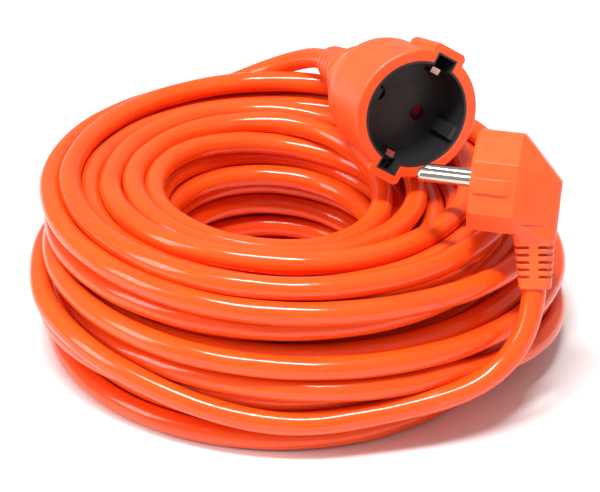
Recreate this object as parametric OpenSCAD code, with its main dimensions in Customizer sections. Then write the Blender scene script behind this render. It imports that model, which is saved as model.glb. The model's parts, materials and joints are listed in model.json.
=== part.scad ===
// Coiled mains extension cord: earthed socket coupler, coiled cord and angled plug.
// Millimetres, +Z up, origin on the floor at the middle of the coil.
// The socket's own frame has +Z out of its mouth, X along the line of its two pin holes and
// Y along the line of its two earth clips. The plug's own frame has +Z along its pins,
// X along the line of its two pins and Y away from its cord.

/* [Cord] */
// Diameter of the cord's sheath
cord_d = 8.5; // [8:0.1:8.5]
// Diameter of one insulated core inside the sheath
core_d = 2.7; // [2.3:0.1:2.8]

/* [Coil] */
// Radius of the coil at its widest
coil_r = 104; // [102:0.5:106]
// Height of the coil
coil_h = 62; // [60:0.5:62]
// Radius of the open middle of the coil
coil_hole_r = 36; // [32:1:38]

/* [Socket] */
// Radius of the recess that takes a plug
recess_r = 19.5; // [19.4:0.05:19.6]
// Depth of the recess
recess_depth = 17.5; // [17.2:0.1:17.6]
// Radius of the socket's face
lip_r = 24.65; // [24.4:0.05:25]
// Radius of the barrel where its shoulder begins
barrel_r = 22.6; // [22.4:0.1:24]
// Length of the barrel ahead of its shoulder
barrel_len = 26; // [25:0.5:27]
// Travel of the shutter from shut to open, in degrees
shutter_travel = 42; // [40:1:44]

/* [Plug] */
// Length of the pins
pin_len = 19; // [18.5:0.1:19.5]
// Diameter of the pins
pin_d = 4.8; // [4.74:0.02:4.86]
// Half of the distance between the pins, the same in the plug and the socket
pin_offset = 9.5; // [9.4:0.05:9.6]
// Half of the width of the plug along the line of its pins
plug_half_w = 16; // [15.6:0.1:16.2]
// Half of the height of the plug's face
plug_half_h = 17.4; // [17.2:0.1:17.6]

/* [Hidden] */
$fn = 64;
// A cut runs this far past the face it opens
past = 1;
// Thickness of a slice that only gives a hull its outline
slice = 0.1;

// Where each end lies, and how it is turned
socket_pos = [43.4, -7.4, 91.5];
socket_turn = 21.6;
socket_rise = 9.2;
socket_roll = -34.4;
plug_pos = [61.4, -46.7, 85.9];
plug_turn = [88.5, -22.6, -101];

// Socket shell
shoulder_len = 18;
neck_r = 12.8;
neck_end = 56;
collar_r = 13.4;
collar_len = 3;
lip_bevel = 0.6;
lug_half_w = 6.9;
lug_r = 27.4;
lug_len = 20;
// Space behind the carrier, which narrows to the sheath
funnel_r = 13.5;
funnel_end_r = 6;
funnel_len = 8;

// Socket insert, which lines the recess
rim_r = 20.4;
rim_depth = 3;
insert_r = 21.6;
insert_back = 20;
notch_r = 24.2;
notch_half_w = 4.4;
notch_wall = 0.7;
notch_floor = 17.5;
notch_floor_t = 1.5;
guide_r = 17;
guide_half_w = 2.6;
guide_start = 1;
pin_hole_r = 2.9;

// Contact carrier behind the insert
carrier_r = 17.5;
carrier_front = 24;
carrier_back = 39;
carrier_flat = 16.1;
cavity_r = 18;
contact_r = 3.4;
spring_pocket_r = 4.4;
spring_pocket_depth = 3.6;
// A vane's edge and the middle of the stop that it rests on lie this far apart, in degrees
stop_angle = 9;
stop_half_w = 1;

// Shutter between the insert and the carrier
shutter_front = 20.4;
shutter_t = 3;
shutter_r = 13;
shutter_half_angle = 21;
shutter_hub_r = 5.2;
shutter_peg_y = 3.6;
ramp_angle = 16;
pivot_r = 1;
pivot_clearance = 0.05;
pivot_start = 18.8;
pivot_end = 30.6;
spring_r = 2.7;
spring_wire_r = 0.25;
spring_back = 27.35;
spring_pitch = 0.7;

// Earth strip of the socket: 0.8 mm thick, from one clip round the carrier to the other
strip_half_t = 0.4;
strip_half_w = 1.8;
// Slot for it in the shell, and the slimmer one in the insert: half width, radii and depth
shell_slot_half_w = 2.6;
shell_slot_r = 23.3;
shell_slot_end = 22.2;
insert_slot_half_w = 2.5;
insert_slot_r = [22.2, 23.2];
strip_half_path = [[17.1, -9.4], [15.8, -6.6], [16.6, -4.4], [18.4, -4.2], [20.9, -7.5],
                   [22.7, -9.5], [22.7, -21.2], [16.5, -21.2], [16.5, -39.4]];

// Sleeve contacts and crimps, in depths behind the socket's face
contact_front = 24.6;
contact_back = 36.8;
contact_bore_end = 35.6;
contact_slit_end = 34;
contact_mouth = [3, 26.2];
crimp_r = 1.9;
socket_crimp_end = 40.6;
socket_earth_crimp_end = 43.6;

// Boot and sheath behind the socket
sheath_start = 49;
boot_end = 84;
boot_grip = 80;
boot_r = 10.6;
boot_taper = 3.8;
boot_groove = 1.3;
boot_bevel = 0.8;

// Plug body
plug_front_len = 16.2;
plug_top_half_w = 5;
plug_bottom_half_w = 9;
plug_side_top = 7.3;
plug_side_bottom = -10.9;
face_bevel = 1.2;
// How fast the face's corners move in, for each millimetre that its sides do
corner_share = 0.4;
rear_depth = 31.4;
rear_post_r = 3.5;
// Heights of the two rear edges, and the ridge over them
rear_top = 2.2;
rear_bottom = -13;
leg_bottom = -18.3;
leg_half_w = 13;
leg_y = [-12.5, -3];
ridge_half_w = 4;
ridge_r = 1.5;
ridge_y = 15.9;
band_half_h = 2.6;
band_drop = 1;
band_rise = 0.8;
band_len = 14.8;

// Plug strain relief
relief_pos = [0, -20, -24];
relief_lean = 7.6;
relief_len = 16.6;
relief_top = [13, 14];
relief_end = [10.4, 11.4];
relief_corner_r = 3;
slot_first = 1.5;
slot_pitch = 2.63;
slot_count = 5;
slot_r = 0.55;
web_half_w = 1.5;
sheath_grip = 12;

// Inside the plug
face_block_inset = 2.6;
pocket_depth = 13;
earth_strip_half_w = 3;
earth_strip_y = 15.8;
earth_strip_back = 15;
earth_tube_y = 9;
earth_tube_r = 3.2;
earth_tube_bore_r = 2.5;
pin_tail = 13;
pin_tail_r = 2;
pin_tip = 1.6;
crimp_end = 19;
plug_sheath_start = -4.6;
// Wiring space behind the face block: its outline from the side of the cord, which is cut
// from one height to a lower one and from some depth on, and its outline from behind
wiring_runs = [[3.4, -13.5, 12], [-13, -24, 18.2]];
wiring_plan = [[12, -19.6], [5.6, -27.4]];
wiring_back = [[12, 3.4], [12, -7], [5.4, -14], [5.2, -18.2]];

// Route of the free cord from the plug's strain relief down the outside of the coil
plug_route = [[82.8, -68.9, 44.3], [80.5, -72.7, 37.5], [76.5, -76.5, 31.5], [71.1, -80.2, 26.7],
              [64.6, -83.6, 23.3], [57.2, -86.4, 21.2], [49.5, -88.6, 19.7], [41.5, -90.4, 18.5],
              [33, -92.1, 17.4], [24.2, -93.8, 16.4], [15.2, -95.2, 15.5], [5, -96.5, 14.5]];
// Route of the free cord from the socket's boot to the top of the coil
socket_route = [[5, 83.6, 73.9], [-0.6, 89.4, 70.3], [-7.2, 94.2, 66], [-14.6, 97.6, 61.6],
                [-22.6, 98.9, 57.7], [-30.8, 98.2, 54.5], [-38.9, 95.4, 52.4], [-46.8, 90.6, 51.4],
                [-54, 84.4, 51]];

// ---- Turning and placing points ----

function spin_x(p, a) = [p.x, p.y * cos(a) - p.z * sin(a), p.y * sin(a) + p.z * cos(a)];
function spin_y(p, a) = [p.x * cos(a) + p.z * sin(a), p.y, p.z * cos(a) - p.x * sin(a)];
function spin_z(p, a) = [p.x * cos(a) - p.y * sin(a), p.x * sin(a) + p.y * cos(a), p.z];

function at_socket(p) =
    socket_pos + spin_z(spin_x(spin_z(p, socket_roll), 90 - socket_rise), socket_turn);
function at_plug(p) =
    plug_pos + spin_z(spin_y(spin_x(p, plug_turn.x), plug_turn.y), plug_turn.z);
function at_relief(z) = at_plug(relief_pos + spin_x([0, 0, z], 90 + relief_lean));

module in_socket() {
    translate(socket_pos) rotate([90 - socket_rise, 0, socket_turn])
        rotate([0, 0, socket_roll]) children();
}

module in_plug() {
    translate(plug_pos) rotate(plug_turn) children();
}

module in_relief() {
    in_plug() translate(relief_pos) rotate([90 + relief_lean, 0, 0]) children();
}

// Both of a pair that lies half a turn apart about the axis
module pair() {
    for (a = [0, 180]) rotate([0, 0, a]) children();
}

// A cylinder from depth d1 to depth d2 behind the face
module plug_of(r, d1, d2) {
    translate([0, 0, -d2]) cylinder(r = r, h = d2 - d1);
}

// A box from depth d1 to depth d2 behind the face, over x and y ranges
module block(x1, x2, y1, y2, d1, d2) {
    translate([x1, y1, -d2]) cube([x2 - x1, y2 - y1, d2 - d1]);
}

// ---- Sweeping a round section along a list of points ----

function unit(v) = v / norm(v);
function heading(pts, i) =
    unit(pts[min(i + 1, len(pts) - 1)] - pts[max(i - 1, 0)]);
function ring(p, along, across, r, sides) =
    let (u = unit(cross(along, across)), v = cross(along, u))
    [for (k = [0:sides - 1]) p + r * (cos(360 * k / sides) * u + sin(360 * k / sides) * v)];

// across is any direction that no stretch of the route runs along
module sweep(pts, r, sides, across) {
    rings = len(pts);
    corners = [for (i = [0:rings - 1])
               each ring(pts[i], heading(pts, i), across, r, sides)];
    walls = [for (i = [0:rings - 2], k = [0:sides - 1])
             let (a = i * sides + k, b = i * sides + (k + 1) % sides)
             each [[a, b, b + sides], [a, b + sides, a + sides]]];
    start_cap = [for (k = [0:sides - 1]) sides - 1 - k];
    end_cap = [for (k = [0:sides - 1]) (rings - 1) * sides + k];
    polyhedron(points = corners, faces = concat([start_cap], walls, [end_cap]), convexity = 4);
}

// ---- Cord ----

module cord_coil() {
    color("orangered") difference() {
        rotate_extrude($fn = 120)
            polygon([[0, 0], [coil_r - 6, 0], [coil_r - 2, 8], [coil_r, 24], [coil_r - 4, 40],
                     [coil_r - 6, 52], [coil_r - 14, 60], [coil_r - 22, coil_h], [0, coil_h]]);
        translate([-11, -4, 0]) rotate_extrude()
            polygon([[0, -past], [coil_hole_r, -past], [coil_hole_r, coil_h - 12],
                     [coil_hole_r + 5, coil_h + past], [0, coil_h + past]]);
    }
}

module cord_socket_end() {
    leaving = [for (d = [boot_grip, boot_end, boot_end + 4]) at_socket([0, 0, -d])];
    color("orangered") sweep(concat(leaving, socket_route), cord_d / 2, 10, [0, 0, 1]);
}

module cord_plug_end() {
    leaving = [for (d = [sheath_grip, relief_len, relief_len + 4]) at_relief(d)];
    color("orangered") sweep(concat(leaving, plug_route), cord_d / 2, 10, [1, 1, 0]);
}

// ---- Socket: shell and boot ----

module shell_outline() {
    polygon(concat(
        [[0, 0], [lip_r - lip_bevel, 0], [lip_r, -lip_bevel], [barrel_r, -barrel_len]],
        [for (a = [5:5:90]) [neck_r + (barrel_r - neck_r) * cos(a),
                               -barrel_len - shoulder_len * sin(a)]],
        [[neck_r, collar_len - neck_end], [collar_r, collar_len - 0.8 - neck_end],
         [collar_r, -neck_end], [0, -neck_end]]));
}

module lug_outline(half_w, r) {
    root = lip_r - 7;
    corner = 1.4;
    polygon([[-half_w, root], [half_w, root], [half_w, r - corner],
             [half_w - corner, r], [corner - half_w, r], [-half_w, r - corner]]);
}

module clip_lug() {
    // Slices: depth of the back, thickness, and how much narrower and lower than the front
    slices = [[0.5, 0.5, 0, 0], [lug_len, 1, 0.5, 2], [lug_len + 5, 1, 3, 4.6]];
    hull() for (s = slices)
        translate([0, 0, -s[0]]) linear_extrude(s[1]) lug_outline(lug_half_w - s[2], lug_r - s[3]);
}

module socket_shell() {
    color("orangered") in_socket() difference() {
        union() {
            rotate_extrude($fn = 96) shell_outline();
            pair() clip_lug();
        }
        plug_of(rim_r, -past, rim_depth + past);
        plug_of(insert_r, rim_depth, insert_back);
        plug_of(cavity_r, insert_back - past, carrier_back + past);
        translate([0, 0, -sheath_start]) cylinder(r1 = funnel_end_r, r2 = funnel_r, h = funnel_len);
        plug_of(funnel_r, carrier_back, sheath_start - funnel_len);
        plug_of(cord_d / 2, sheath_start - past, neck_end + past);
        pair() {
            block(-notch_half_w, notch_half_w, 0, notch_r, -past, notch_floor);
            block(-shell_slot_half_w, shell_slot_half_w, 0, shell_slot_r,
                  notch_floor - past, shell_slot_end);
        }
    }
}

module boot_outline() {
    ring_count = 6;
    ring_pitch = (boot_end - neck_end) / ring_count;
    outer_r = function(d) boot_r - boot_taper * (d - neck_end) / (boot_end - neck_end);
    // Each ring's face, and then its groove, as shares of the pitch
    face = [0, 0.62];
    groove = [0.72, 0.9];
    edge = [for (k = [0:ring_count - 1], s = concat(face, groove))
            let (d = neck_end + (k + s) * ring_pitch)
            [outer_r(d) - (s < groove[0] ? 0 : boot_groove), -d]];
    polygon(concat([[cord_d / 2, -neck_end]], edge,
                   [[outer_r(boot_end) - boot_bevel, -boot_end], [cord_d / 2, -boot_end]]));
}

module socket_boot() {
    color("orangered") in_socket() rotate_extrude() boot_outline();
}

// ---- Socket: insert, carrier and shutter ----

module socket_insert() {
    color("dimgray") in_socket() {
        difference() {
            union() {
                plug_of(rim_r, 0, rim_depth + past);
                plug_of(insert_r, rim_depth, insert_back);
                pair() block(-notch_half_w, notch_half_w, 0, notch_r, 0, notch_floor);
            }
            plug_of(recess_r, -past, recess_depth);
            pair() {
                block(notch_wall - notch_half_w, notch_half_w - notch_wall,
                      0, notch_r - notch_wall, -past, notch_floor - notch_floor_t);
                block(-insert_slot_half_w, insert_slot_half_w, insert_slot_r[0], insert_slot_r[1],
                      0, notch_floor + past);
                translate([pin_offset, 0, 0]) plug_of(pin_hole_r, 0, insert_back + past);
            }
            plug_of(pivot_r, pivot_start, insert_back + past);
        }
        pair() intersection() {
            block(guide_r, insert_r, -guide_half_w, guide_half_w, guide_start, recess_depth + past);
            plug_of((recess_r + rim_r) / 2, 0, insert_back);
        }
    }
}

module contact_carrier() {
    color("gray") in_socket() {
        difference() {
            intersection() {
                plug_of(carrier_r, carrier_front, carrier_back);
                block(-carrier_r, carrier_r, -carrier_flat, carrier_flat,
                      carrier_front, carrier_back);
            }
            pair() translate([pin_offset, 0, 0])
                plug_of(contact_r, carrier_front - past, carrier_back + past);
            plug_of(spring_pocket_r, carrier_front - past, carrier_front + spring_pocket_depth);
            plug_of(pivot_r, carrier_front, pivot_end);
        }
        // Stops on which the shutter's vanes come to rest, shut and open
        pair() for (a = [-shutter_half_angle - stop_angle,
                         shutter_half_angle + stop_angle + shutter_travel])
            rotate([0, 0, a]) block(8.6, 12, -stop_half_w, stop_half_w,
                                    shutter_front + 0.4, carrier_front + 0.5);
    }
}

module shutter() {
    reach = shutter_r * 1.5;
    color("firebrick") in_socket() difference() {
        union() {
            plug_of(shutter_hub_r, shutter_front, shutter_front + shutter_t);
            pair() intersection() {
                plug_of(shutter_r, shutter_front, shutter_front + shutter_t);
                translate([0, 0, -shutter_front - shutter_t]) linear_extrude(shutter_t)
                    polygon([[0, 0],
                             [reach * cos(shutter_half_angle), -reach * sin(shutter_half_angle)],
                             [reach * cos(shutter_half_angle), reach * sin(shutter_half_angle)]]);
            }
            // Peg that the return spring pushes on
            translate([0, shutter_peg_y, 0]) plug_of(0.5, shutter_front + 1, carrier_front + 0.4);
        }
        plug_of(pivot_r + pivot_clearance, 0, carrier_back);
        // Ramps that the plug's pins slide down to turn the shutter
        pair() translate([shutter_hub_r + 0.6, 3.6, -shutter_front]) rotate([ramp_angle, 0, 0])
            translate([0, -12, 0]) cube([10, 12, 6]);
    }
}

module shutter_pivot() {
    color("silver") in_socket()
        plug_of(pivot_r, pivot_start, pivot_end);
}

module shutter_spring() {
    turns = 3;
    steps = 12;
    coil = [for (k = [0:turns * steps])
            let (a = 360 * k / steps - 30)
            at_socket([spring_r * cos(a), spring_r * sin(a),
                       spring_pitch * k / steps - spring_back])];
    color("silver") sweep(coil, spring_wire_r, 6, at_socket([0, 0, 1]) - socket_pos);
}

// ---- Socket: contacts, earth strip and cores ----

module sleeve_contact(side) {
    color("gold") in_socket() translate([side * pin_offset, 0, 0]) difference() {
        plug_of(contact_r, contact_front, contact_back);
        plug_of(pin_d / 2, carrier_front, contact_bore_end);
        plug_of(contact_mouth[0], carrier_front, contact_mouth[1]);
        block(-0.6, 0.6, -contact_r - past, contact_r + past, carrier_front, contact_slit_end);
    }
}

module socket_line_contact() { sleeve_contact(1); }

module socket_neutral_contact() { sleeve_contact(-1); }

// Outline of a strip of constant thickness along a path, with mitred corners
function across_path(path, i) =
    let (back = unit(path[max(i, 1)] - path[max(i, 1) - 1]),
         ahead = unit(path[min(i + 1, len(path) - 1)] - path[min(i, len(path) - 2)]),
         n1 = [-back.y, back.x], n2 = [-ahead.y, ahead.x])
    (n1 + n2) / (1 + n1 * n2);
function strip_outline(path, half_t) = concat(
    [for (i = [0:len(path) - 1]) path[i] + half_t * across_path(path, i)],
    [for (i = [len(path) - 1:-1:0]) path[i] - half_t * across_path(path, i)]);

module socket_earth_strip() {
    other_half = [for (i = [len(strip_half_path) - 1:-1:0])
                  [-strip_half_path[i].x, strip_half_path[i].y]];
    color("silver") in_socket() rotate([90, 0, 90]) translate([0, 0, -strip_half_w])
        linear_extrude(2 * strip_half_w)
        polygon(strip_outline(concat(strip_half_path, other_half), strip_half_t));
}

module socket_crimp(x, d1, d2) {
    color("silver") in_socket() translate([x, 0, 0]) plug_of(crimp_r, d1, d2);
}

module socket_line_crimp() { socket_crimp(pin_offset, contact_back, socket_crimp_end); }

module socket_neutral_crimp() { socket_crimp(-pin_offset, contact_back, socket_crimp_end); }

module socket_earth_crimp() {
    socket_crimp(0, carrier_back + 2 * strip_half_t, socket_earth_crimp_end);
}

module socket_core(path) {
    sweep([for (p = path) at_socket(p)], core_d / 2, 8, at_socket([0, 1, 0.1]) - socket_pos);
}

// Route of the brown or blue core from its crimp to the sheath; the two are mirror images
function socket_core_route(side) =
    [for (p = [[pin_offset, 0, -socket_crimp_end], [pin_offset, 0, -41.2], [8.8, -0.1, -42.8],
               [6.2, -0.5, -45.2], [3.4, -1, -47.2], [2, -1.1, -48.5], [2, -1.1, -sheath_start]])
     [side * p.x, p.y, p.z]];

module socket_brown_core() {
    color("saddlebrown") socket_core(socket_core_route(1));
}

module socket_blue_core() {
    color("royalblue") socket_core(socket_core_route(-1));
}

module socket_earth_core() {
    path = [[0, 0, -socket_earth_crimp_end], [0, 0, -44.2], [0, 0.8, -45.6], [0, 1.8, -47.3],
            [0, 2.2, -48.5], [0, 2.2, -sheath_start]];
    color("yellowgreen")
        sweep([for (p = path) at_socket(p)], core_d / 2, 8, at_socket([1, 0, 0]) - socket_pos);
}

module socket_sheath() {
    color("orangered") in_socket() plug_of(cord_d / 2, sheath_start, boot_grip);
}

// ---- Plug: body and strain relief ----

module face_outline(inset) {
    w = plug_half_w - inset;
    h = plug_half_h - inset;
    t = plug_top_half_w - corner_share * inset;
    b = plug_bottom_half_w - corner_share * inset;
    s1 = plug_side_top - corner_share * inset;
    s2 = plug_side_bottom + corner_share * inset;
    polygon([[-t, h], [-w, s1], [-w, s2], [-b, -h], [b, -h], [w, s2], [w, s1], [t, h]]);
}

module rounded_rect(size, r) {
    hull() for (sx = [-1, 1], sy = [-1, 1])
        translate([sx * (size.x / 2 - r), sy * (size.y / 2 - r)]) circle(r = r, $fn = 32);
}

module rear_post(s, y_top, y_bottom) {
    translate([s * rear_post_r, y_top, rear_post_r - rear_depth]) rotate([90, 0, 0])
        cylinder(r = rear_post_r, h = y_top - y_bottom, $fn = 32);
}

module body_outside() {
    hull() {
        translate([0, 0, -slice]) linear_extrude(slice) face_outline(face_bevel);
        translate([0, 0, -plug_front_len]) linear_extrude(plug_front_len - face_bevel)
            face_outline(0);
        for (s = [-1, 1]) rear_post(s, rear_top, rear_bottom);
        translate([-ridge_half_w, ridge_y, -plug_front_len]) rotate([0, 90, 0])
            cylinder(r = ridge_r, h = 2 * ridge_half_w, $fn = 32);
    }
    // The leg that leads down to the strain relief
    hull() {
        block(-leg_half_w, leg_half_w, leg_y[0], leg_y[1], plug_front_len - 0.6, plug_front_len + 1);
        for (s = [-1, 1]) rear_post(s, rear_top, leg_bottom);
        translate(relief_pos) rotate([90 + relief_lean, 0, 0])
            translate([0, 0, -1]) linear_extrude(1) rounded_rect(relief_top, relief_corner_r);
    }
    // Raised band on each side, just below the line of the pins
    for (s = [0, 1]) mirror([s, 0, 0]) translate([0, -band_drop, 0]) hull() {
        block(0, plug_half_w + band_rise, -band_half_h, band_half_h, 1.5, band_len - 3);
        block(0, plug_half_w, -band_half_h, band_half_h, 1, band_len);
    }
}

// An outline that is the same on both sides of its middle line
module mirrored(right) {
    left = [for (i = [len(right) - 1:-1:0]) [-right[i].x, right[i].y]];
    polygon(concat(right, left));
}

module plug_body() {
    strip_y = earth_strip_y - strip_half_t;
    color("orangered") in_plug() difference() {
        body_outside();
        translate([0, 0, -pocket_depth]) linear_extrude(pocket_depth + past)
            face_outline(face_block_inset);
        pair() block(-earth_strip_half_w, earth_strip_half_w, strip_y, plug_half_h + past,
                     -past, earth_strip_back);
        block(-earth_strip_half_w, earth_strip_half_w, -earth_strip_y - strip_half_t,
              earth_strip_y + strip_half_t, earth_strip_back, earth_strip_back + 2 * strip_half_t);
        translate([0, earth_tube_y, 0]) plug_of(earth_tube_r, 0, earth_strip_back);
        // Wiring space behind the face block
        intersection() {
            for (run = wiring_runs)
                translate([0, run[0], 0]) rotate([90, 0, 0]) linear_extrude(run[0] - run[1])
                    mirrored(concat([[wiring_plan[0].x, -run[2]]], wiring_plan));
            translate([0, 0, -rear_depth]) linear_extrude(rear_depth) mirrored(wiring_back);
        }
        translate(relief_pos) rotate([90 + relief_lean, 0, 0]) translate([0, 0, -6])
            cylinder(r = cord_d / 2, h = 8);
    }
}

module slot_pair() {
    half_w = 8;
    reach = 10;
    for (s = [-1, 1]) {
        translate([-half_w, s * (web_half_w + slot_r), 0]) rotate([0, 90, 0])
            cylinder(r = slot_r, h = 2 * half_w, $fn = 24);
        translate([-half_w, s > 0 ? web_half_w + slot_r : -reach, -slot_r])
            cube([2 * half_w, reach - web_half_w - slot_r, 2 * slot_r]);
    }
}

module plug_strain_relief() {
    color("orangered") in_relief() difference() {
        hull() {
            linear_extrude(0.5) rounded_rect(relief_top, relief_corner_r);
            translate([0, 0, relief_len - 0.6]) linear_extrude(slice)
                rounded_rect(relief_end, relief_corner_r - 0.4);
            translate([0, 0, relief_len - slice]) linear_extrude(slice)
                rounded_rect(relief_end - [1, 1], relief_corner_r - 0.8);
        }
        translate([0, 0, -past]) cylinder(r = cord_d / 2, h = relief_len + 2 * past);
        difference() {
            for (k = [0:slot_count - 1])
                translate([0, 0, slot_first + k * slot_pitch]) slot_pair();
            cylinder(r = cord_d / 2 + slot_r, h = relief_len);
        }
    }
}

// ---- Plug: face block, pins, earth contact and cores ----

module plug_face_block() {
    color("dimgray") in_plug() difference() {
        translate([0, 0, -pocket_depth]) linear_extrude(pocket_depth)
            face_outline(face_block_inset);
        pair() translate([pin_offset, 0, 0]) plug_of(pin_tail_r, -past, pocket_depth + past);
        translate([0, earth_tube_y, 0]) plug_of(earth_tube_r, -past, pocket_depth + past);
    }
}

module pin(side) {
    color("silver") in_plug() translate([side * pin_offset, 0, -pin_tail]) rotate_extrude()
        polygon(concat([[0, 0], [pin_tail_r, 0], [pin_tail_r, pin_tail], [pin_d / 2, pin_tail],
                        [pin_d / 2, pin_tail + pin_len - pin_tip]],
                       [for (a = [15:15:90]) [pin_d / 2 - pin_tip * (1 - cos(a)),
                                              pin_tail + pin_len - pin_tip * (1 - sin(a))]],
                       [[0, pin_tail + pin_len]]));
}

module plug_line_pin() { pin(1); }

module plug_neutral_pin() { pin(-1); }

module plug_earth_strip() {
    leg_front = 1.5;
    web_d = earth_strip_back + strip_half_t;
    path = [[earth_strip_y, -leg_front], [earth_strip_y, -web_d],
            [-earth_strip_y, -web_d], [-earth_strip_y, -leg_front]];
    color("silver") in_plug() rotate([90, 0, 90]) translate([0, 0, -earth_strip_half_w])
        linear_extrude(2 * earth_strip_half_w) polygon(strip_outline(path, strip_half_t));
}

module plug_earth_tube() {
    color("silver") in_plug() translate([0, earth_tube_y, 0]) difference() {
        plug_of(earth_tube_r, 0.4, earth_strip_back);
        plug_of(earth_tube_bore_r, 0, earth_strip_back - 1);
    }
}

module plug_crimp(side) {
    color("silver") in_plug() translate([side * pin_offset, 0, 0])
        plug_of(crimp_r, pin_tail, crimp_end);
}

module plug_line_crimp() { plug_crimp(1); }

module plug_neutral_crimp() { plug_crimp(-1); }

module plug_earth_crimp() {
    color("silver") in_plug()
        translate([0, -5, -earth_strip_back - 2 * strip_half_t - crimp_r])
        rotate([90, 0, 0]) cylinder(r = crimp_r, h = 5);
}

module plug_core(path) {
    sweep([for (p = path) at_plug(p)], core_d / 2, 8, at_plug([0.3, 1, -0.4]) - plug_pos);
}

// Route of the brown or blue core from its crimp to the sheath; the two are mirror images
function plug_core_route(side) =
    [for (p = [[pin_offset, 0, -crimp_end], [pin_offset, 0, -crimp_end - 0.5],
               [8.9, -1.4, -21], [7, -4.2, -22.7], [4.4, -7.8, -23.8], [2.4, -11.2, -24],
               [2, -14.3, -24.06], [2, -15.32, -24.2]])
     [side * p.x, p.y, p.z]];

module plug_brown_core() {
    color("saddlebrown") plug_core(plug_core_route(1));
}

module plug_blue_core() {
    color("royalblue") plug_core(plug_core_route(-1));
}

module plug_earth_core() {
    path = [[0, -10, -17.7], [0, -10.6, -17.7], [0, -11.5, -18.1], [0, -12.8, -19.3],
            [0, -14.3, -20.8], [0, -15.4, -21.3]];
    color("yellowgreen")
        sweep([for (p = path) at_plug(p)], core_d / 2, 8, at_plug([1, 0, 0]) - plug_pos);
}

module plug_sheath() {
    color("orangered") in_relief() translate([0, 0, plug_sheath_start])
        cylinder(r = cord_d / 2, h = sheath_grip - plug_sheath_start);
}

cord_coil();
cord_socket_end();
cord_plug_end();
socket_shell();
socket_boot();
socket_insert();
contact_carrier();
shutter();
shutter_pivot();
shutter_spring();
socket_line_contact();
socket_neutral_contact();
socket_earth_strip();
socket_line_crimp();
socket_neutral_crimp();
socket_earth_crimp();
socket_brown_core();
socket_blue_core();
socket_earth_core();
socket_sheath();
plug_body();
plug_strain_relief();
plug_face_block();
plug_line_pin();
plug_neutral_pin();
plug_earth_strip();
plug_earth_tube();
plug_line_crimp();
plug_neutral_crimp();
plug_earth_crimp();
plug_brown_core();
plug_blue_core();
plug_earth_core();
plug_sheath();
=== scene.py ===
# Coiled mains extension cord: the look of each part, and the cord itself, wound and settled.
# Metres, +Z up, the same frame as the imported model.
import json
import math

import bpy
import numpy as np
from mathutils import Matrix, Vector


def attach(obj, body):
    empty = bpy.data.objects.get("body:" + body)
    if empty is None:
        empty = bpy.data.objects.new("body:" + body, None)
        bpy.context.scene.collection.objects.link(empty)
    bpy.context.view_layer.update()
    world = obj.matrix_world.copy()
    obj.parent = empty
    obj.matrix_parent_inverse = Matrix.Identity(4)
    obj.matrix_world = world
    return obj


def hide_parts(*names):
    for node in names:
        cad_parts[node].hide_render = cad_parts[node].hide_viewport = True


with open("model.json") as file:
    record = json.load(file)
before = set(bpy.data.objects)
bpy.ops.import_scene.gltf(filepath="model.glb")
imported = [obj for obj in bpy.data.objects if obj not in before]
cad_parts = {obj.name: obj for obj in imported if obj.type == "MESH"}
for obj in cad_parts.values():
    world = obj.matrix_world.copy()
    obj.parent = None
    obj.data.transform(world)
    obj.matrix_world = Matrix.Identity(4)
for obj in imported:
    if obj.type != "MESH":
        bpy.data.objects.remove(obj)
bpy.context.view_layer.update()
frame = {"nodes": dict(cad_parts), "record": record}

MM = 0.001
SEED = 10

# ---- Cord: facts ----

CORD_D = 8.5 * MM
CORD_LENGTH = 20.0
# Spacing of the points that settle
NODE_GAP = 6.0 * MM

MOUNTS = {m["name"]: m for m in frame["record"]["mounts"]}
MOUTH = np.array(MOUNTS["socket_mouth"]["pos_m"])
OUT_OF_MOUTH = np.array(MOUNTS["socket_mouth"]["axis"])


def behind_mouth(depth):
    """The point on the socket's axis that lies depth behind its face."""
    return MOUTH - depth * OUT_OF_MOUTH


# The socket's boot grips the cord, and lets it out 4 mm further on, and it runs on straight
BOOT_GRIP = behind_mouth(80 * MM)
BOOT_EXIT = behind_mouth(84 * MM)
STRAIGHT_ON = [behind_mouth(88 * MM), behind_mouth(92 * MM)]
# The end of the plug's strain relief, and a point 4 mm inside it
RELIEF_EXIT = np.array([83.446, -65.520, 51.624]) * MM
RELIEF_GRIP = np.array([83.321, -63.939, 55.296]) * MM

# The free cord from the socket's boot to the coil, and from the plug's strain relief to the coil
SOCKET_ROUTE = [(5, 83.6, 73.9), (-0.6, 89.4, 70.3), (-7.2, 94.2, 66), (-14.6, 97.6, 61.6),
                (-22.6, 98.9, 57.7), (-30.8, 98.2, 54.5), (-38.9, 95.4, 52.4), (-46.8, 90.6, 51.4),
                (-54, 84.4, 51)]
PLUG_ROUTE = [(82.8, -68.9, 44.3), (80.5, -72.7, 37.5), (76.5, -76.5, 31.5), (71.1, -80.2, 26.7),
              (64.6, -83.6, 23.3), (57.2, -86.4, 21.2), (49.5, -88.6, 19.7), (41.5, -90.4, 18.5),
              (33, -92.1, 17.4), (24.2, -93.8, 16.4), (15.2, -95.2, 15.5), (5, -96.5, 14.5)]

# ---- Cord: how it is wound ----

# Each pass of the winding, from the socket's end to the plug's: height, first and last radius
# (both in millimetres), turns, and whether its turns may be spread to make up the cord's length
PASSES = [(53.5, 96, 46, 5.273, False), (62, 46, 76, 2.58, False), (62, 83, 92, 0.16, False),
          (62, 92, 92, 1.04, False), (45.5, 99, 45, 5.5, True), (37.5, 45, 95, 5.6, True),
          (31, 99, 44, 5.7, True), (22, 45, 94, 5.8, True), (4.3, 103, 44, 5.9, True),
          (13, 44, 98, 5.7, True)]
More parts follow.
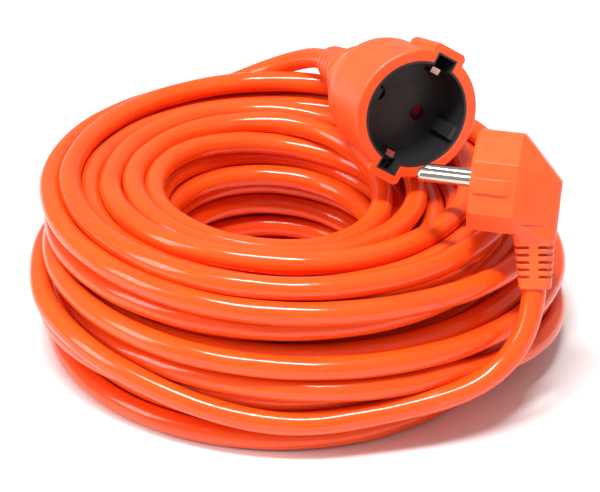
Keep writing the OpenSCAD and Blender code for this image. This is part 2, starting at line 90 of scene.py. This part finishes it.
# The last turn, which runs round the outside: azimuth in degrees, radius and height
LAST_TURN = [(135, 99, 27), (155, 98, 31), (175, 98, 33), (190, 100, 32.5), (205, 103, 30.5),
             (222, 103, 27), (238, 101, 22), (250, 99.8, 17.8), (262, 99.2, 14.8)]
START_AZIMUTH = math.radians(130)
START_HEIGHT = 51 * MM
POINTS_PER_TURN = 60
STEP = math.radians(360 / POINTS_PER_TURN)
# The cord climbs to a pass's level over this many points
CLIMB = 50
# The pass radius is averaged over this many points
AVERAGED = 17
# The run-on from the passes to the last turn is at least this long
LEAST_RUN_ON = math.radians(150)
# No turn is perfectly round or level: how far the cord strays, and about how often in a turn
IN_OUT, IN_OUT_RATE = 2.6 * MM, 1.7
UP_DOWN, UP_DOWN_RATE = 1.7 * MM, 1.5
SIDEWAYS, SIDEWAYS_RATE = 1.8 * MM, 0.9
# The straying grows from nothing over this many points at each end
GROWTH = 45
# The inner turns lean, up to a height
LEAN = 7 * MM
LEAN_AZIMUTH = math.radians(30)
LEAN_HEIGHT = 30 * MM
LEAN_BLEND = 50 * MM
# The open middle, from which the turns blend outward into the coil's outline
HOLE = np.array([-12.0, -4.0]) * MM
HOLE_R = 44.5 * MM
INNER_R = 44 * MM
OUTLINE_BLEND = 46 * MM
# How much narrower the open middle is at each height
NARROWER_Z = np.array([0, 30, 60]) * MM
NARROWER = np.array([10, 5, 1]) * MM
# The outer turns at a height: that height and their centre in millimetres, and how much wider
# and deeper than round they lie
OUTLINE = np.array([(4.5, -2.5, 0, 0.98, 0.97), (22, 2.5, 0, 1.04, 0.97),
                    (33, 3.5, 0, 1.045, 0.97), (60, -4, 7, 0.985, 1.0)])
# Greatest radius of the cord's centreline at each height
LIMIT_Z = np.array([0, 4.5, 13, 22, 33, 44, 52, 60, 64]) * MM
LIMIT_R = np.array([102, 102, 99, 98, 98, 98, 96, 93, 92]) * MM
COIL_TOP = 62.5 * MM


def smooth(t):
    t = np.clip(t, 0, 1)
    return t * t * (3 - 2 * t)


def lengths(points):
    steps = np.linalg.norm(np.diff(points, axis=0), axis=1)
    return np.concatenate([[0], np.cumsum(steps)])


def even(points, count):
    """count points, evenly spaced along the line through these."""
    along = lengths(points)
    where = np.linspace(0, along[-1], count)
    return np.stack([np.interp(where, along, points[:, k]) for k in range(3)], 1)


def curve_through(points, step):
    """A Catmull-Rom curve through these points."""
    p = np.asarray(points, float)
    p = np.vstack([2 * p[0] - p[1], p, 2 * p[-1] - p[-2]])
    made = []
    for k in range(1, len(p) - 2):
        a, b, c, d = p[k - 1:k + 3]
        n = max(2, int(np.linalg.norm(c - b) / step))
        t = np.linspace(0, 1, n, endpoint=False)[:, None]
        made.append(0.5 * (2 * b + (c - a) * t + (2 * a - 5 * b + 4 * c - d) * t ** 2
                           + (3 * b - a - 3 * c + d) * t ** 3))
    return np.vstack(made + [p[-2:-1]])


def wander(rng, count, knots):
    """A slow random wave of size about 1."""
    knot = rng.normal(0, 1, knots)
    x = np.linspace(0, knots - 1, count)
    i = np.minimum(x.astype(int), knots - 2)
    f = smooth(x - i)
    return knot[i] * (1 - f) + knot[i + 1] * f


def outline(z):
    """The centre of the outer turns at these heights, and how much wider and deeper than round."""
    row = np.stack([np.interp(z / MM, OUTLINE[:, 0], OUTLINE[:, k]) for k in range(1, 5)], 1)
    return row[:, :2] * MM, row[:, 2:]


def on_coil(azimuth, radius, z):
    """Inner turns lie round the open middle, and outer turns round the coil's own outline."""
    outer = smooth((radius - INNER_R) / OUTLINE_BLEND)[:, None]
    centre, stretch = outline(z)
    spoke = np.stack([np.cos(azimuth), np.sin(azimuth)], -1) * radius[:, None]
    flat = HOLE + (centre - HOLE) * outer + spoke * (1 + (stretch - 1) * outer)
    return np.concatenate([flat, z[:, None]], 1)


def winding(spread):
    """The coil's turns, before they settle, and the points of its last turn."""
    rng = np.random.default_rng(SEED)
    radius, height = [], []
    before = START_HEIGHT
    for level, r_from, r_to, turns, may_spread in PASSES:
        n = int(turns * (spread if may_spread else 1) * POINTS_PER_TURN)
        radius.append(MM * (r_from + (r_to - r_from) * np.arange(n) / n))
        height.append(before + (level * MM - before) * smooth(np.arange(n) / CLIMB))
        before = level * MM
    radius, height = np.concatenate(radius), np.concatenate(height)
    window = np.hanning(AVERAGED)
    padded = np.pad(radius, AVERAGED // 2, mode="edge")
    radius = np.convolve(padded, window / window.sum(), "valid")
    azimuth = START_AZIMUTH + STEP * np.arange(len(radius))
    # Run on to the start of the last turn
    left = (math.radians(LAST_TURN[0][0]) - azimuth[-1]) % (2 * math.pi)
    if left < LEAST_RUN_ON:
        left += 2 * math.pi
    n = int(left / STEP)
    share = smooth(np.arange(1, n) / n)
    azimuth = np.concatenate([azimuth, azimuth[-1] + STEP * np.arange(1, n)])
    radius = np.concatenate([radius, radius[-1] + (LAST_TURN[0][1] * MM - radius[-1]) * share])
    height = np.concatenate([height, height[-1] + (LAST_TURN[0][2] * MM - height[-1]) * share])
    n = len(azimuth)
    turns = n * STEP / (2 * math.pi)
    blend = smooth(np.minimum(np.arange(n), np.arange(n)[::-1]) / GROWTH)
    in_out = IN_OUT * blend * wander(rng, n, int(turns * IN_OUT_RATE))
    up_down = UP_DOWN * blend * wander(rng, n, int(turns * UP_DOWN_RATE))
    sideways = [SIDEWAYS * blend * wander(rng, n, int(turns * SIDEWAYS_RATE)) for _ in range(2)]
    inner = 1 - smooth((radius - INNER_R) / LEAN_BLEND)
    lean = LEAN * blend * inner * np.cos(azimuth + LEAN_AZIMUTH)
    height = height + up_down - lean * np.clip(height / LEAN_HEIGHT, 0, 1)
    path = on_coil(azimuth, radius + in_out, height)
    path[:, 0] += sideways[0]
    path[:, 1] += sideways[1]
    last = np.array(LAST_TURN, float)
    return path, on_coil(np.radians(last[:, 0]), last[:, 1] * MM, last[:, 2] * MM)


# Spacing of the points along the free ends, and rounds in which the turns are spread to fit
END_STEP = 2 * MM
SPREAD_ROUNDS = 10
# The free ends are held, but for the stretch of each that joins the coil
HEAD_FREE = 12 * MM
TAIL_FREE = 30 * MM
# Rounds in which the winding's bends are eased, and then the joins and the two free ends
WINDING_EASE = 60
JOIN_EASE = 3


def unsettled():
    """The whole cord before it settles, at its real length, and which of its points stay put."""
    head = curve_through([BOOT_GRIP, BOOT_EXIT] + STRAIGHT_ON
                         + [np.array(p) * MM for p in SOCKET_ROUTE], END_STEP)
    spread = 1.0
    for _ in range(SPREAD_ROUNDS):
        turns, last = winding(spread)
        plug_end = [np.array(p) * MM for p in PLUG_ROUTE[::-1]]
        tail = curve_through(np.vstack([last, plug_end, RELIEF_EXIT, RELIEF_GRIP]), END_STEP)
        path = np.vstack([head, turns[1:], tail])
        total = lengths(path)[-1]
        spread *= 1 + (CORD_LENGTH - total) / total
    count = int(round(CORD_LENGTH / NODE_GAP)) + 1
    x = even(path, count)
    along = np.linspace(0, total, count)
    held = ((along < lengths(head)[-1] - HEAD_FREE)
            | (along > total - lengths(tail)[-1] + TAIL_FREE))
    for eased, rounds in ((~held, WINDING_EASE), (np.full(count, True), JOIN_EASE)):
        for _ in range(rounds):
            softer = 0.25 * x[:-2] + 0.5 * x[1:-1] + 0.25 * x[2:]
            x[1:-1] = np.where(eased[1:-1, None], softer, x[1:-1])
    return x, held


# ---- Cord: how it settles ----

# The strands are held this far apart, a little over a diameter, because points stand for a tube
CONTACT = 8.7 * MM
ROUNDS = 280
# Near pairs are listed again after this many rounds, out to this many times the contact distance
LISTED_EVERY = 10
LIST_REACH = 1.45
# Each round the cord sinks this far, less and less, and is then pushed apart and kept in spacing
SINK = 0.03 * MM
PUSHES = 3
# The share of any overstep of the coil's outline that is put right at once
PUT_RIGHT = 0.8
# Off the socket, a strand is pushed more down than sideways, and at most this far in a round
DOWNWARD = 0.5
MOST_PUSH = 0.8 * MM
# The socket's barrel, shoulder, neck and boot, as tapered rods: depths and radii
SOCKET_RODS = [(0, 26, 24.5, 24.5), (26, 44, 24, 12.8), (44, 56, 13.2, 13.2), (56, 84, 10.6, 6.8)]


def near_pairs(x, reach, skip=5):
    """Pairs of points nearer than reach that lie more than a few points apart along the cord."""
    found = []
    block = 512
    p = x.astype(np.float32)
    square = (p ** 2).sum(1)
    for a in range(0, len(p), block):
        distance = square[a:a + block, None] + square[None] - 2 * p[a:a + block] @ p.T
        i, j = np.nonzero(distance < reach * reach)
        i = i + a
        apart = j - i >= skip
        found.append(np.stack([i[apart], j[apart]]))
    return np.concatenate(found, 1)


def relax_displacement(x, start, free):
    """Smooths how far the cord has moved and not its shape, as a cord that keeps its set."""
    for reach, share in ((1, 0.25), (3, 0.2)):
        moved = x - start
        pull = np.zeros_like(x)
        pull[reach:-reach] = moved[:-2 * reach] + moved[2 * reach:] - 2 * moved[reach:-reach]
        x += share * pull * free[:, None]


def push_apart(x, pairs, free):
    i, j = pairs
    between = x[j] - x[i]
    distance = np.sqrt((between ** 2).sum(1))
    close = distance < CONTACT
    i, j, between, distance = i[close], j[close], between[close], distance[close]
    push = between / np.maximum(distance, 1e-9)[:, None] * ((CONTACT - distance) / 2)[:, None]
    n = len(x)
    shared = np.maximum(1, 0.5 * (np.bincount(i, minlength=n) + np.bincount(j, minlength=n)))
    for k in range(3):
        x[:, k] += (np.bincount(j, push[:, k], n) - np.bincount(i, push[:, k], n)) * free / shared


def keep_spacing(x, gap, free):
    for first in (0, 1):
        n = (len(x) - first) // 2
        a, b = slice(first, first + 2 * n, 2), slice(first + 1, first + 1 + 2 * n, 2)
        between = x[b] - x[a]
        distance = np.sqrt((between ** 2).sum(1))
        weight = np.maximum(free[a] + free[b], 1e-9)
        change = ((distance - gap) / np.maximum(distance, 1e-9) / weight)[:, None] * between
        x[a] += change * free[a][:, None]
        x[b] -= change * free[b][:, None]


def keep_in_outline(x, free):
    centre, stretch = outline(x[:, 2])
    q = (x[:, :2] - centre) / stretch
    r = np.hypot(q[:, 0], q[:, 1])
    over = np.minimum(np.interp(x[:, 2], LIMIT_Z, LIMIT_R) - r, 0) * free
    x[:, :2] += (PUT_RIGHT * over / np.maximum(r, 1e-9))[:, None] * q * stretch
    q = x[:, :2] - HOLE
    r = np.hypot(q[:, 0], q[:, 1])
    least = HOLE_R - np.interp(x[:, 2], NARROWER_Z, NARROWER)
    x[:, :2] += (PUT_RIGHT * np.maximum(least - r, 0) * free / np.maximum(r, 1e-9))[:, None] * q
    x[:, 2] = np.where(free > 0, np.clip(x[:, 2], CORD_D / 2, COIL_TOP), x[:, 2])


def keep_off_socket(x, free):
    """Strands under the socket are pressed down out of its way."""
    for d1, d2, r1, r2 in SOCKET_RODS:
        front, length = behind_mouth(d1 * MM), (d2 - d1) * MM
        along = np.clip((front - x) @ OUT_OF_MOUTH, 0, length)
        radius = MM * (r1 + (r2 - r1) * along / length) + CORD_D / 2
        away = x - front + along[:, None] * OUT_OF_MOUTH
        distance = np.linalg.norm(away, axis=1)
        hit = (free > 0) & (distance < radius)
        push = away[hit]
        push[:, 2] = -np.abs(push[:, 2]) - DOWNWARD * distance[hit]
        push /= np.linalg.norm(push, axis=1)[:, None]
        x[hit] += push * np.minimum(radius[hit] - distance[hit], MOST_PUSH)[:, None]


def settled(x, held):
    """Settles the cord under a little weight: strands rest on each other and on the floor."""
    start = x.copy()
    free = (~held).astype(float)
    gap = CORD_LENGTH / (len(x) - 1)
    for turn in range(ROUNDS):
        if turn % LISTED_EVERY == 0:
            pairs = near_pairs(x, CONTACT * LIST_REACH)
        x[:, 2] -= SINK * (1 - turn / ROUNDS) * free
        relax_displacement(x, start, free)
        for _ in range(PUSHES):
            push_apart(x, pairs, free)
            keep_spacing(x, gap, free)
        keep_in_outline(x, free)
        keep_off_socket(x, free)
    return x


# ---- Cord: its surface ----

SHEATH_SIDES = 16
RING_GAP = 3.6 * MM
# The three cores under the sheath show as a faint twist
LAY_LENGTH = 95 * MM
RIPPLE = 0.05 * MM


def tube(name, path, radius, sides, ripple=0.0, lay=1.0):
    """A tube mesh along path, with a point attribute that holds the way round and the way along."""
    n = len(path)
    along = lengths(path)
    heading = np.gradient(path, axis=0)
    heading /= np.linalg.norm(heading, axis=1)[:, None]
    up = np.zeros_like(path)
    first = np.cross(heading[0], (1.0, 0.0, 0.0))
    up[0] = first / np.linalg.norm(first)
    for k in range(1, n):
        flat = up[k - 1] - heading[k] * (up[k - 1] @ heading[k])
        up[k] = flat / np.linalg.norm(flat)
    side = np.cross(heading, up)
    angle = 2 * np.pi * np.arange(sides) / sides
    lobes = 1 + ripple / radius * np.cos(3 * (angle[None] - 2 * np.pi * along[:, None] / lay))
    spoke = (up[:, None] * np.cos(angle)[None, :, None]
             + side[:, None] * np.sin(angle)[None, :, None])
    skin = path[:, None] + spoke * (radius * lobes)[:, :, None]
    coords = np.concatenate([skin.reshape(-1, 3), path[:1], path[-1:]])
    ring, k = np.meshgrid(np.arange(n - 1), np.arange(sides), indexing="ij")
    a, b = ring * sides + k, ring * sides + (k + 1) % sides
    quads = np.stack([a, b, b + sides, a + sides], -1).reshape(-1, 4)
    k = np.arange(sides)
    last = (n - 1) * sides
    caps = [np.stack([np.full(sides, n * sides), (k + 1) % sides, k], -1),
            np.stack([np.full(sides, n * sides + 1), last + k, last + (k + 1) % sides], -1)]
    mesh = bpy.data.meshes.new(name)
    mesh.from_pydata(coords.tolist(), [], quads.tolist() + np.concatenate(caps).tolist())
    mesh.shade_smooth()
    around = np.stack([np.broadcast_to(np.cos(angle), (n, sides)),
                       np.broadcast_to(np.sin(angle), (n, sides)),
                       np.broadcast_to(along[:, None], (n, sides))], -1).reshape(-1, 3)
    ends = np.array([[0, 0, 0], [0, 0, along[-1]]])
    attribute = mesh.attributes.new("sheath", "FLOAT_VECTOR", "POINT")
    attribute.data.foreach_set("vector", np.concatenate([around, ends]).astype(np.float32).ravel())
    obj = bpy.data.objects.new(name, mesh)
    bpy.context.scene.collection.objects.link(obj)
    return obj


def make_cord(material):
    x, held = unsettled()
    x = settled(x, held)
    path = even(curve_through(x, RING_GAP), int(CORD_LENGTH / RING_GAP))
    cord = tube("cord", path, CORD_D / 2, SHEATH_SIDES, RIPPLE, LAY_LENGTH)
    cord.data.materials.append(material)
    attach(cord, "cord_set")
    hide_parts("cord_coil", "cord_socket_end", "cord_plug_end")


# ---- Materials ----

def shader(name, colour, roughness, metallic=0.0):
    """A new material, its node tree and its Principled shader, with uniform values set."""
    material = bpy.data.materials.new(name)
    material.use_nodes = True
    tree = material.node_tree
    bsdf = tree.nodes["Principled BSDF"]
    bsdf.inputs["Base Color"].default_value = (*colour, 1)
    bsdf.inputs["Roughness"].default_value = roughness
    bsdf.inputs["Metallic"].default_value = metallic
    return material, tree, bsdf


def add(tree, kind, *inputs, **settings):
    """A new node. Each input is None, a value, or a socket to link."""
    made = tree.nodes.new("ShaderNode" + kind)
    for name, value in settings.items():
        setattr(made, name, value)
    for k, value in enumerate(inputs):
        if isinstance(value, bpy.types.NodeSocket):
            tree.links.new(value, made.inputs[k])
        elif value is not None:
            made.inputs[k].default_value = value
    return made


def math_node(tree, operation, *inputs):
    return add(tree, "Math", *inputs, operation=operation).outputs[0]


def vector_node(tree, operation, *inputs):
    return add(tree, "VectorMath", *inputs, operation=operation)


def noise(tree, where, scale, detail=3.0, roughness=0.5):
    made = add(tree, "TexNoise", where)
    made.inputs["Scale"].default_value = scale
    made.inputs["Detail"].default_value = detail
    made.inputs["Roughness"].default_value = roughness
    return made.outputs["Fac"]


def remap(tree, value, low, high, to_low, to_high):
    """value from low..high to to_low..to_high, clamped."""
    return add(tree, "MapRange", value, low, high, to_low, to_high).outputs[0]


def blend_colours(tree, share, one, other):
    """A mix of two colours or sockets: share is how much of the other one there is."""
    made = add(tree, "Mix", share, data_type="RGBA")
    # A Mix node's two colour inputs are its sixth and seventh
    for k, colour in ((6, one), (7, other)):
        if isinstance(colour, bpy.types.NodeSocket):
            tree.links.new(colour, made.inputs[k])
        else:
            made.inputs[k].default_value = (*colour, 1)
    return made.outputs[2]


def bump(tree, bsdf, height, depth, strength, under=None):
    """Relief of this depth on the shader's normal, laid over any relief that is under it."""
    made = add(tree, "Bump")
    made.inputs["Strength"].default_value = strength
    made.inputs["Distance"].default_value = depth
    tree.links.new(height, made.inputs["Height"])
    if under is not None:
        tree.links.new(under, made.inputs["Normal"])
    tree.links.new(made.outputs[0], bsdf.inputs["Normal"])
    return made.outputs[0]


def place(tree):
    """The shaded point in the part's own frame."""
    return add(tree, "TexCoord").outputs["Object"]


def drawn(tree, axis, across, along):
    """Coordinates for lines along axis: scaled by across sideways and by along lengthways."""
    point = place(tree)
    wide = vector_node(tree, "SCALE", point)
    wide.inputs["Scale"].default_value = across
    depth = vector_node(tree, "DOT_PRODUCT", point, tuple(axis)).outputs["Value"]
    less = vector_node(tree, "SCALE", tuple(axis))
    tree.links.new(math_node(tree, "MULTIPLY", depth, along - across), less.inputs["Scale"])
    return vector_node(tree, "ADD", wide.outputs[0], less.outputs[0]).outputs[0]


def sheath_material():
    """Glossy soft PVC: long faint extrusion lines, broad shade changes, scuffs and specks."""
    material, tree, bsdf = shader("orange_sheath", (0.88, 0.078, 0.008), 0.16)
    bsdf.inputs["Specular IOR Level"].default_value = 0.4
    sheath = add(tree, "Attribute", attribute_name="sheath").outputs["Vector"]
    round_it = vector_node(tree, "MULTIPLY", sheath, (1.0, 1.0, 18.0)).outputs[0]
    patches = vector_node(tree, "MULTIPLY", sheath, (0.8, 0.8, 60.0)).outputs[0]
    grain = vector_node(tree, "MULTIPLY", sheath, (1.0, 1.0, 235.0)).outputs[0]
    shade = remap(tree, noise(tree, patches, 0.6, 2), 0.3, 0.7, 0, 1)
    colour = blend_colours(tree, shade, (0.91, 0.085, 0.009), (0.84, 0.07, 0.007))
    scuff = remap(tree, noise(tree, patches, 1.9, 5, 0.7), 0.62, 0.72, 0, 1)
    dusty = math_node(tree, "MULTIPLY", scuff, 0.1)
    colour = blend_colours(tree, dusty, colour, (0.95, 0.45, 0.3))
    speck = remap(tree, noise(tree, grain, 5.5, 2, 0.6), 0.77, 0.8, 0, 0.45)
    colour = blend_colours(tree, speck, colour, (0.3, 0.03, 0.01))
    tree.links.new(colour, bsdf.inputs["Base Color"])
    lines = noise(tree, round_it, 7.0, 3, 0.6)
    rough = math_node(tree, "ADD", remap(tree, lines, 0.3, 0.7, 0.11, 0.19),
                      math_node(tree, "MULTIPLY", scuff, 0.16))
    tree.links.new(rough, bsdf.inputs["Roughness"])
    skin = bump(tree, bsdf, noise(tree, round_it, 3.0, 2), 0.00012, 0.35)
    bump(tree, bsdf, noise(tree, grain, 2.2, 3), 0.00003, 0.3, skin)
    return material


def plastic(name, colour, other, roughness, grain_scale, grain, edge):
    """Moulded plastic: a slow change of shade, a fine grain, worn patches and softened edges."""
    material, tree, bsdf = shader(name, colour, roughness)
    point = place(tree)
    slow = remap(tree, noise(tree, point, 60, 3), 0.35, 0.65, 0, 1)
    tree.links.new(blend_colours(tree, slow, colour, other), bsdf.inputs["Base Color"])
    worn = noise(tree, point, 210, 5, 0.65)
    tree.links.new(remap(tree, worn, 0.35, 0.7, roughness - 0.06, roughness + 0.1),
                   bsdf.inputs["Roughness"])
    soft = add(tree, "Bevel", samples=6)
    soft.inputs["Radius"].default_value = edge
    bump(tree, bsdf, noise(tree, point, grain_scale, 2), grain, 0.5, soft.outputs[0])
    return material, tree, bsdf


# Two fine rings on the floor of the recess: radius and half width, and the depth they start at
RECESS_RINGS = ((15.4 * MM, 0.12 * MM), (6.2 * MM, 0.1 * MM))
RECESS_FLOOR = 17 * MM
SCRATCH_AXIS = (0.6, 0.3, 0.74)


def black_plastic():
    """Black moulding: faint turned rings round the socket's axis, fine scratches, and dust."""
    material, tree, bsdf = plastic("black_plastic", (0.018, 0.017, 0.019), (0.026, 0.024, 0.026),
                                   0.34, 2600, 0.00003, 0.0002)
    point = vector_node(tree, "SUBTRACT", place(tree), tuple(MOUTH)).outputs[0]
    depth = vector_node(tree, "DOT_PRODUCT", point, tuple(OUT_OF_MOUTH)).outputs["Value"]
    spoke = vector_node(tree, "CROSS_PRODUCT", point, tuple(OUT_OF_MOUTH)).outputs[0]
    radius = vector_node(tree, "LENGTH", spoke).outputs["Value"]
    ring = math_node(tree, "ADD", *[math_node(tree, "COMPARE", radius, middle, half)
                                    for middle, half in RECESS_RINGS])
    on_floor = math_node(tree, "LESS_THAN", depth, -RECESS_FLOOR)
    ring = math_node(tree, "MULTIPLY", ring, on_floor)
    turned = noise(tree, add(tree, "CombineXYZ", radius, depth).outputs[0], 5200, 2)
    height = math_node(tree, "ADD", math_node(tree, "MULTIPLY", turned, 0.25), ring)
    bump(tree, bsdf, height, 0.00012, 0.6, bsdf.inputs["Normal"].links[0].from_socket)
    streak = noise(tree, drawn(tree, SCRATCH_AXIS, 900, 60), 1.0, 4, 0.7)
    scratch = remap(tree, streak, 0.66, 0.72, 0, 0.35)
    dust = remap(tree, noise(tree, place(tree), 1900, 2, 0.6), 0.73, 0.78, 0, 0.5)
    pale = math_node(tree, "ADD", math_node(tree, "MAXIMUM", scratch, dust),
                     math_node(tree, "MULTIPLY", ring, 0.12))
    below = bsdf.inputs["Base Color"].links[0].from_socket
    marked = blend_colours(tree, math_node(tree, "SUBTRACT", 1, pale), (0.16, 0.15, 0.15), below)
    tree.links.new(marked, bsdf.inputs["Base Color"])
    return material


def metal(name, colour, other, roughness, axis, stain=0.0):
    """Plated or bare metal, fine lines drawn along axis, and a slow darker cloud: tarnishing, on
    nickel painted dark reflection.
    """
    material, tree, bsdf = shader(name, colour, roughness, 1.0)
    lines = noise(tree, drawn(tree, axis, 4200, 110), 1.0, 3, 0.6)
    tree.links.new(remap(tree, lines, 0.3, 0.7, roughness - 0.05, roughness + 0.12),
                   bsdf.inputs["Roughness"])
    cloud = remap(tree, noise(tree, place(tree), 330, 4, 0.6), 0.45, 0.75, 0, 1)
    # On nickel this darker cloud is painted dark reflection of the surroundings; on the other
    # metals it is tarnishing.
    tarnish_and_painted_reflection = math_node(tree, "MULTIPLY", cloud, 0.25 + stain)
    tree.links.new(blend_colours(tree, tarnish_and_painted_reflection, colour, other), bsdf.inputs["Base Color"])
    bump(tree, bsdf, lines, 0.00002, 0.35)
    return material


def striped(name, one, other, axis):
    """Core insulation of one colour, with stripes of another when they differ, lined along axis."""
    material, tree, bsdf = shader(name, one, 0.38)
    point = place(tree)
    wave = add(tree, "TexWave", point, bands_direction="DIAGONAL")
    wave.inputs["Scale"].default_value = 85
    wave.inputs["Distortion"].default_value = 0.4
    stripes = remap(tree, wave.outputs["Fac"], 0.45, 0.55, 0, 1)
    tree.links.new(blend_colours(tree, stripes, one, other), bsdf.inputs["Base Color"])
    lines = noise(tree, drawn(tree, axis, 2600, 90), 1.0, 3, 0.6)
    tree.links.new(remap(tree, lines, 0.3, 0.7, 0.3, 0.46), bsdf.inputs["Roughness"])
    bump(tree, bsdf, lines, 0.00003, 0.4)
    return material


PIN_AXIS = MOUNTS["plug_line_pin"]["axis"]
SOCKET_AXIS = MOUNTS["socket_mouth"]["axis"]
FINISHES = {
    "orange_sheath": sheath_material(),
    "orange_moulding": plastic("orange_moulding", (0.9, 0.1, 0.014), (0.86, 0.086, 0.012), 0.4,
                               1500, 0.00005, 0.0006)[0],
    "black_plastic": black_plastic(),
    "grey_plastic": plastic("grey_plastic", (0.2, 0.2, 0.21), (0.16, 0.16, 0.17), 0.48,
                            2000, 0.00004, 0.0003)[0],
    "red_plastic": plastic("red_plastic", (0.36, 0.02, 0.035), (0.28, 0.015, 0.025), 0.3,
                           2200, 0.00003, 0.0002)[0],
    # Nickel is painted darker, and its brown darker cloud is painted dark reflection of the pins'
    # surroundings.
    "nickel": metal("nickel", (0.58, 0.54, 0.48), (0.4, 0.35, 0.28), 0.14, PIN_AXIS),
    "steel": metal("steel", (0.55, 0.55, 0.56), (0.4, 0.4, 0.41), 0.28, SOCKET_AXIS),
    "brass": metal("brass", (0.72, 0.5, 0.2), (0.5, 0.3, 0.1), 0.26, SOCKET_AXIS, 0.3),
    "tinned_copper": metal("tinned_copper", (0.62, 0.59, 0.56), (0.5, 0.36, 0.26), 0.36,
                           SOCKET_AXIS, 0.35),
    "brown_insulation": striped("brown_insulation", (0.12, 0.045, 0.02), (0.105, 0.038, 0.017),
                                SOCKET_AXIS),
    "blue_insulation": striped("blue_insulation", (0.02, 0.1, 0.4), (0.017, 0.085, 0.35),
                               SOCKET_AXIS),
    "green_yellow_insulation": striped("green_yellow_insulation", (0.06, 0.32, 0.05),
                                       (0.8, 0.62, 0.03), SOCKET_AXIS),
}


def dress_nodes():
    """Gives every CAD node the finish of its material slot."""
    slots = {p["node"]: p["material_slot"] for p in frame["record"]["subparts"]}
    for name, obj in frame["nodes"].items():
        obj.data.materials.clear()
        obj.data.materials.append(FINISHES[slots[name]])


# ---- Camera, light and floor ----

SENSOR = 36
TARGET = Vector((0, 0, 31 * MM))
CAMERA_DISTANCE = 0.728
CAMERA_ELEVATION = math.radians(30)
# 1863 of the picture's 600 columns on a 36 mm sensor
LENS = 111.8


def make_camera():
    data = bpy.data.cameras.new("camera")
    data.lens = LENS
    data.sensor_width = SENSOR
    camera = bpy.data.objects.new("camera", data)
    back = Vector((0, -math.cos(CAMERA_ELEVATION), math.sin(CAMERA_ELEVATION)))
    camera.location = TARGET + CAMERA_DISTANCE * back
    camera.rotation_euler = (math.pi / 2 - CAMERA_ELEVATION, 0, 0)
    bpy.context.scene.collection.objects.link(camera)
    bpy.context.scene.camera = camera


def soft_light(name, where, size, power):
    data = bpy.data.lights.new(name, "AREA")
    data.shape = "RECTANGLE"
    data.size, data.size_y = size
    data.energy = power
    light = bpy.data.objects.new(name, data)
    light.location = where
    light.rotation_euler = (TARGET - Vector(where)).to_track_quat("-Z", "Y").to_euler()
    bpy.context.scene.collection.objects.link(light)


SKY = 0.43
FLOOR_HALF = 3.0


def make_studio():
    world = bpy.data.worlds.new("studio")
    world.use_nodes = True
    background = world.node_tree.nodes["Background"]
    background.inputs["Color"].default_value = (1, 1, 1, 1)
    background.inputs["Strength"].default_value = SKY
    bpy.context.scene.world = world
    soft_light("overhead", (-0.1, -0.3, 1.1), (0.55, 0.13), 17)
    soft_light("left", (-0.9, -0.3, 0.6), (0.4, 0.6), 6)
    mesh = bpy.data.meshes.new("floor")
    corners = [(-1, -1), (1, -1), (1, 1), (-1, 1)]
    mesh.from_pydata([(FLOOR_HALF * x, FLOOR_HALF * y, 0) for x, y in corners],
                     [], [(0, 1, 2, 3)])
    floor = bpy.data.objects.new("floor", mesh)
    bpy.context.scene.collection.objects.link(floor)
    material, tree, bsdf = shader("floor", (0.9, 0.9, 0.9), 0.6)
    mottle = noise(tree, place(tree), 9, 3)
    tree.links.new(remap(tree, mottle, 0.3, 0.7, 0.5, 0.65), bsdf.inputs["Roughness"])
    mesh.materials.append(material)
    bpy.context.scene.view_settings.view_transform = "Standard"


make_camera()
make_cord(FINISHES["orange_sheath"])
dress_nodes()
make_studio()
